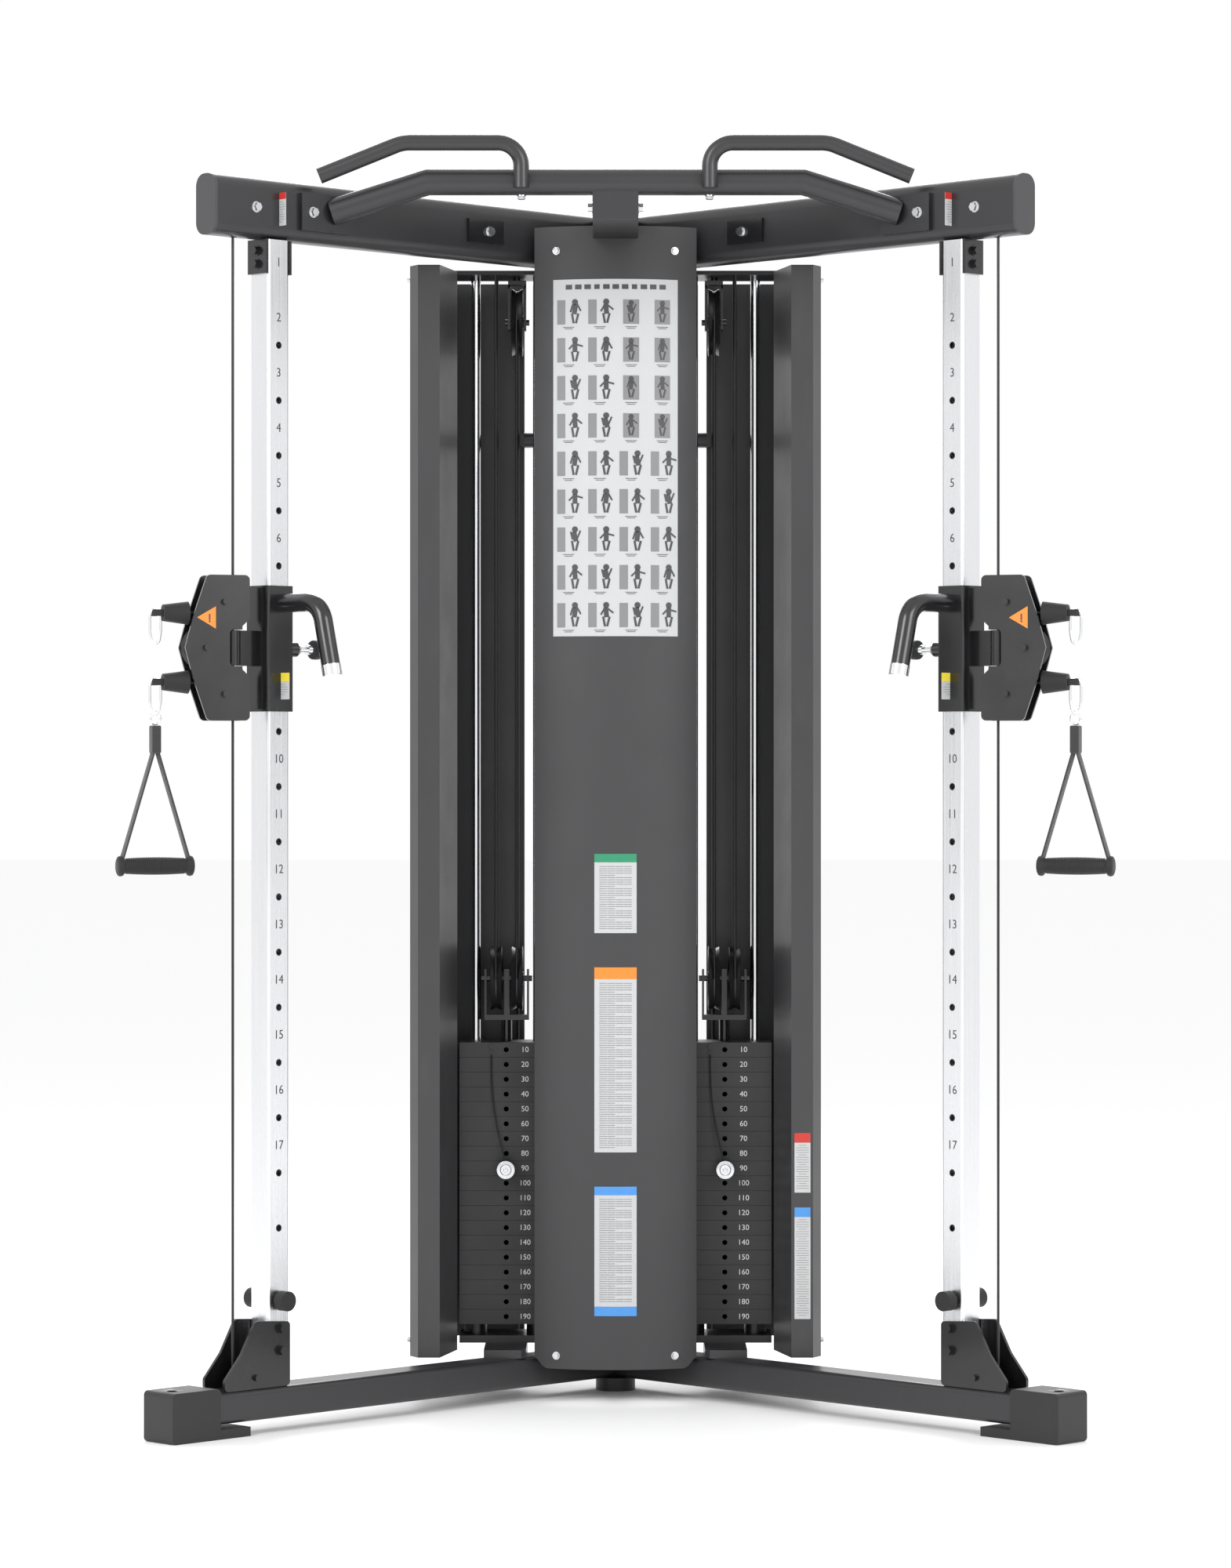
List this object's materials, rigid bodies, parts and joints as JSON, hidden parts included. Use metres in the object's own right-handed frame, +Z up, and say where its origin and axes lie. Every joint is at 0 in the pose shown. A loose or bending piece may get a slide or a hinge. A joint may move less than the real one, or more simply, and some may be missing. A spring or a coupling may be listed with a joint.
{
  "type": "functional trainer",
  "caption": "V-framed cable machine with twin weight stacks, sliding pulley carriages on numbered posts, strap handles and a pull-up bar.",
  "frame": {"origin": "on the floor under the point where the two base beams meet, in the centre foot's underside", "axes": "+Z up, -Y towards the user, +X to the user's right seen from the front"},
  "size_m": [1.7948, 0.9135, 2.3565],
  "materials": {
    "frame_paint": "satin powder coat",
    "panel_paint": "fine satin powder coat",
    "cover_paint": "satin powder coat",
    "bracket_paint": "gloss black paint",
    "satin_steel": "satin chrome",
    "chrome": "polished",
    "fastener": "zinc plated",
    "plate_iron": "smooth dark paint",
    "rubber": "matt",
    "black_plastic": "fine texture",
    "cap_plastic": "fine texture",
    "nylon": "turned nylon",
    "cable": "nylon jacket on steel cable",
    "label": "printed film",
    "webbing": "woven nylon strap"
  },
  "bodies": {
    "root": {"left_base_beam": "frame_paint", "right_base_beam": "frame_paint", "foot_caps": "black_plastic", "centre_foot": "black_plastic", "centre_column": "frame_paint", "left_top_beam": "frame_paint", "right_top_beam": "frame_paint", "beam_caps": "cap_plastic", "left_post": "satin_steel", "right_post": "satin_steel", "left_base_bracket": "bracket_paint", "right_base_bracket": "bracket_paint", "post_bumpers": "rubber", "bracket_plates": "bracket_paint", "pull_up_bar": "frame_paint", "bar_strut": "frame_paint", "front_panel": "panel_paint", "panel_labels": "label", "left_cover": "cover_paint", "right_cover": "cover_paint", "cover_links": "frame_paint", "stack_supports": "frame_paint", "guide_rods": "chrome", "left_lower_plates": "plate_iron", "right_lower_plates": "plate_iron", "frame_bolts": "fastener", "sheave_hangers": "bracket_paint", "fixed_cables": "cable", "left_stack_cable": "cable", "right_stack_cable": "cable"},
    "left_carriage": {"left_sleeve": "bracket_paint", "left_grip_tube": "bracket_paint"},
    "left_pop_pin": {"left_pop_pin": "chrome"},
    "left_head": {"left_head": "bracket_paint", "left_cable_ends": "rubber"},
    "left_top_roller": {"left_top_roller": "nylon"},
    "left_head_sheave": {"left_head_sheave": "nylon"},
    "left_low_roller": {"left_low_roller": "nylon"},
    "left_base_sheave": {"left_base_sheave": "nylon"},
    "left_upper_sheave": {"left_upper_sheave": "nylon"},
    "left_lift_sheaves": {"left_lift_sheaves": "nylon"},
    "left_selector_pin": {"left_selector_pin": "chrome"},
    "left_handle": {"left_handle": "webbing"},
    "left_stack": {"left_lifted_plates": "plate_iron", "left_lift_block": "bracket_paint"},
    "right_carriage": {"right_sleeve": "bracket_paint", "right_grip_tube": "bracket_paint"},
    "right_pop_pin": {"right_pop_pin": "chrome"},
    "right_head": {"right_head": "bracket_paint", "right_cable_ends": "rubber"},
    "right_top_roller": {"right_top_roller": "nylon"},
    "right_head_sheave": {"right_head_sheave": "nylon"},
    "right_low_roller": {"right_low_roller": "nylon"},
    "right_base_sheave": {"right_base_sheave": "nylon"},
    "right_upper_sheave": {"right_upper_sheave": "nylon"},
    "right_lift_sheaves": {"right_lift_sheaves": "nylon"},
    "right_selector_pin": {"right_selector_pin": "chrome"},
    "right_handle": {"right_handle": "webbing"},
    "right_stack": {"right_lifted_plates": "plate_iron", "right_lift_block": "bracket_paint"}
  },
  "joints": [
    {"name": "left_carriage_slide", "type": "slide", "parent": "root", "child": "left_carriage", "axis": [0, 0, 1], "range_m": [-0.9, 0.5]},
    {"name": "left_pop_pin_pull", "type": "slide", "parent": "left_carriage", "child": "left_pop_pin", "axis": [0.7071, 0.7071, 0], "range_m": [0, 0.012], "stiffness_N_per_m": 600, "springref_m": -0.004},
    {"name": "left_head_swivel", "type": "hinge", "parent": "left_carriage", "child": "left_head", "pos_m": [-0.69014, -0.69014, 1.418], "axis": [0, 0, 1], "range_deg": [-55, 105]},
    {"name": "left_top_roller_spin", "type": "hinge", "parent": "left_head", "child": "left_top_roller", "pos_m": [-0.70987, -0.69732, 1.501], "axis": [-0.342, 0.9397, 0], "continuous": true},
    {"name": "left_head_sheave_spin", "type": "hinge", "parent": "left_head", "child": "left_head_sheave", "pos_m": [-0.74182, -0.70895, 1.418], "axis": [-0.342, 0.9397, 0], "continuous": true},
    {"name": "left_low_roller_spin", "type": "hinge", "parent": "left_head", "child": "left_low_roller", "pos_m": [-0.70987, -0.69732, 1.335], "axis": [-0.342, 0.9397, 0], "continuous": true},
    {"name": "left_handle_swing", "type": "hinge", "parent": "left_head", "child": "left_handle", "pos_m": [-0.82545, -0.73939, 1.3559], "axis": [-0.342, 0.9397, 0], "range_deg": [-4, 80]},
    {"name": "left_base_sheave_spin", "type": "hinge", "parent": "root", "child": "left_base_sheave", "pos_m": [-0.66963, -0.66963, 0.102], "axis": [-0.7071, 0.7071, 0], "continuous": true},
    {"name": "left_upper_sheave_spin", "type": "hinge", "parent": "root", "child": "left_upper_sheave", "pos_m": [-0.19, -0.047, 2.064], "axis": [1, 0, 0], "continuous": true},
    {"name": "left_stack_lift", "type": "slide", "parent": "root", "child": "left_stack", "axis": [0, 0, 1], "range_m": [0, 1.08], "deforming": ["left_stack_cable"]},
    {"name": "left_lift_sheaves_spin", "type": "hinge", "parent": "left_stack", "child": "left_lift_sheaves", "pos_m": [-0.21, -0.05, 0.7965], "axis": [1, 0, 0], "continuous": true},
    {"name": "left_selector_pin_pull", "type": "slide", "parent": "left_stack", "child": "left_selector_pin", "axis": [0, -1, 0], "range_m": [0, 0.07]},
    {"name": "right_carriage_slide", "type": "slide", "parent": "root", "child": "right_carriage", "axis": [0, 0, 1], "range_m": [-0.9, 0.5]},
    {"name": "right_pop_pin_pull", "type": "slide", "parent": "right_carriage", "child": "right_pop_pin", "axis": [-0.7071, 0.7071, 0], "range_m": [0, 0.012], "stiffness_N_per_m": 600, "springref_m": -0.004},
    {"name": "right_head_swivel", "type": "hinge", "parent": "right_carriage", "child": "right_head", "pos_m": [0.69014, -0.69014, 1.418], "axis": [0, 0, 1], "range_deg": [-105, 55]},
    {"name": "right_top_roller_spin", "type": "hinge", "parent": "right_head", "child": "right_top_roller", "pos_m": [0.70987, -0.69732, 1.501], "axis": [0.342, 0.9397, 0], "continuous": true},
    {"name": "right_head_sheave_spin", "type": "hinge", "parent": "right_head", "child": "right_head_sheave", "pos_m": [0.74182, -0.70895, 1.418], "axis": [0.342, 0.9397, 0], "continuous": true},
    {"name": "right_low_roller_spin", "type": "hinge", "parent": "right_head", "child": "right_low_roller", "pos_m": [0.70987, -0.69732, 1.335], "axis": [0.342, 0.9397, 0], "continuous": true},
    {"name": "right_handle_swing", "type": "hinge", "parent": "right_head", "child": "right_handle", "pos_m": [0.82545, -0.73939, 1.3559], "axis": [-0.342, -0.9397, 0], "range_deg": [-4, 80]},
    {"name": "right_base_sheave_spin", "type": "hinge", "parent": "root", "child": "right_base_sheave", "pos_m": [0.66963, -0.66963, 0.102], "axis": [0.7071, 0.7071, 0], "continuous": true},
    {"name": "right_upper_sheave_spin", "type": "hinge", "parent": "root", "child": "right_upper_sheave", "pos_m": [0.19, -0.047, 2.064], "axis": [1, 0, 0], "continuous": true},
    {"name": "right_stack_lift", "type": "slide", "parent": "root", "child": "right_stack", "axis": [0, 0, 1], "range_m": [0, 1.08], "deforming": ["right_stack_cable"]},
    {"name": "right_lift_sheaves_spin", "type": "hinge", "parent": "right_stack", "child": "right_lift_sheaves", "pos_m": [0.21, -0.05, 0.7965], "axis": [1, 0, 0], "continuous": true},
    {"name": "right_selector_pin_pull", "type": "slide", "parent": "right_stack", "child": "right_selector_pin", "axis": [0, -1, 0], "range_m": [0, 0.07]}
  ]
}
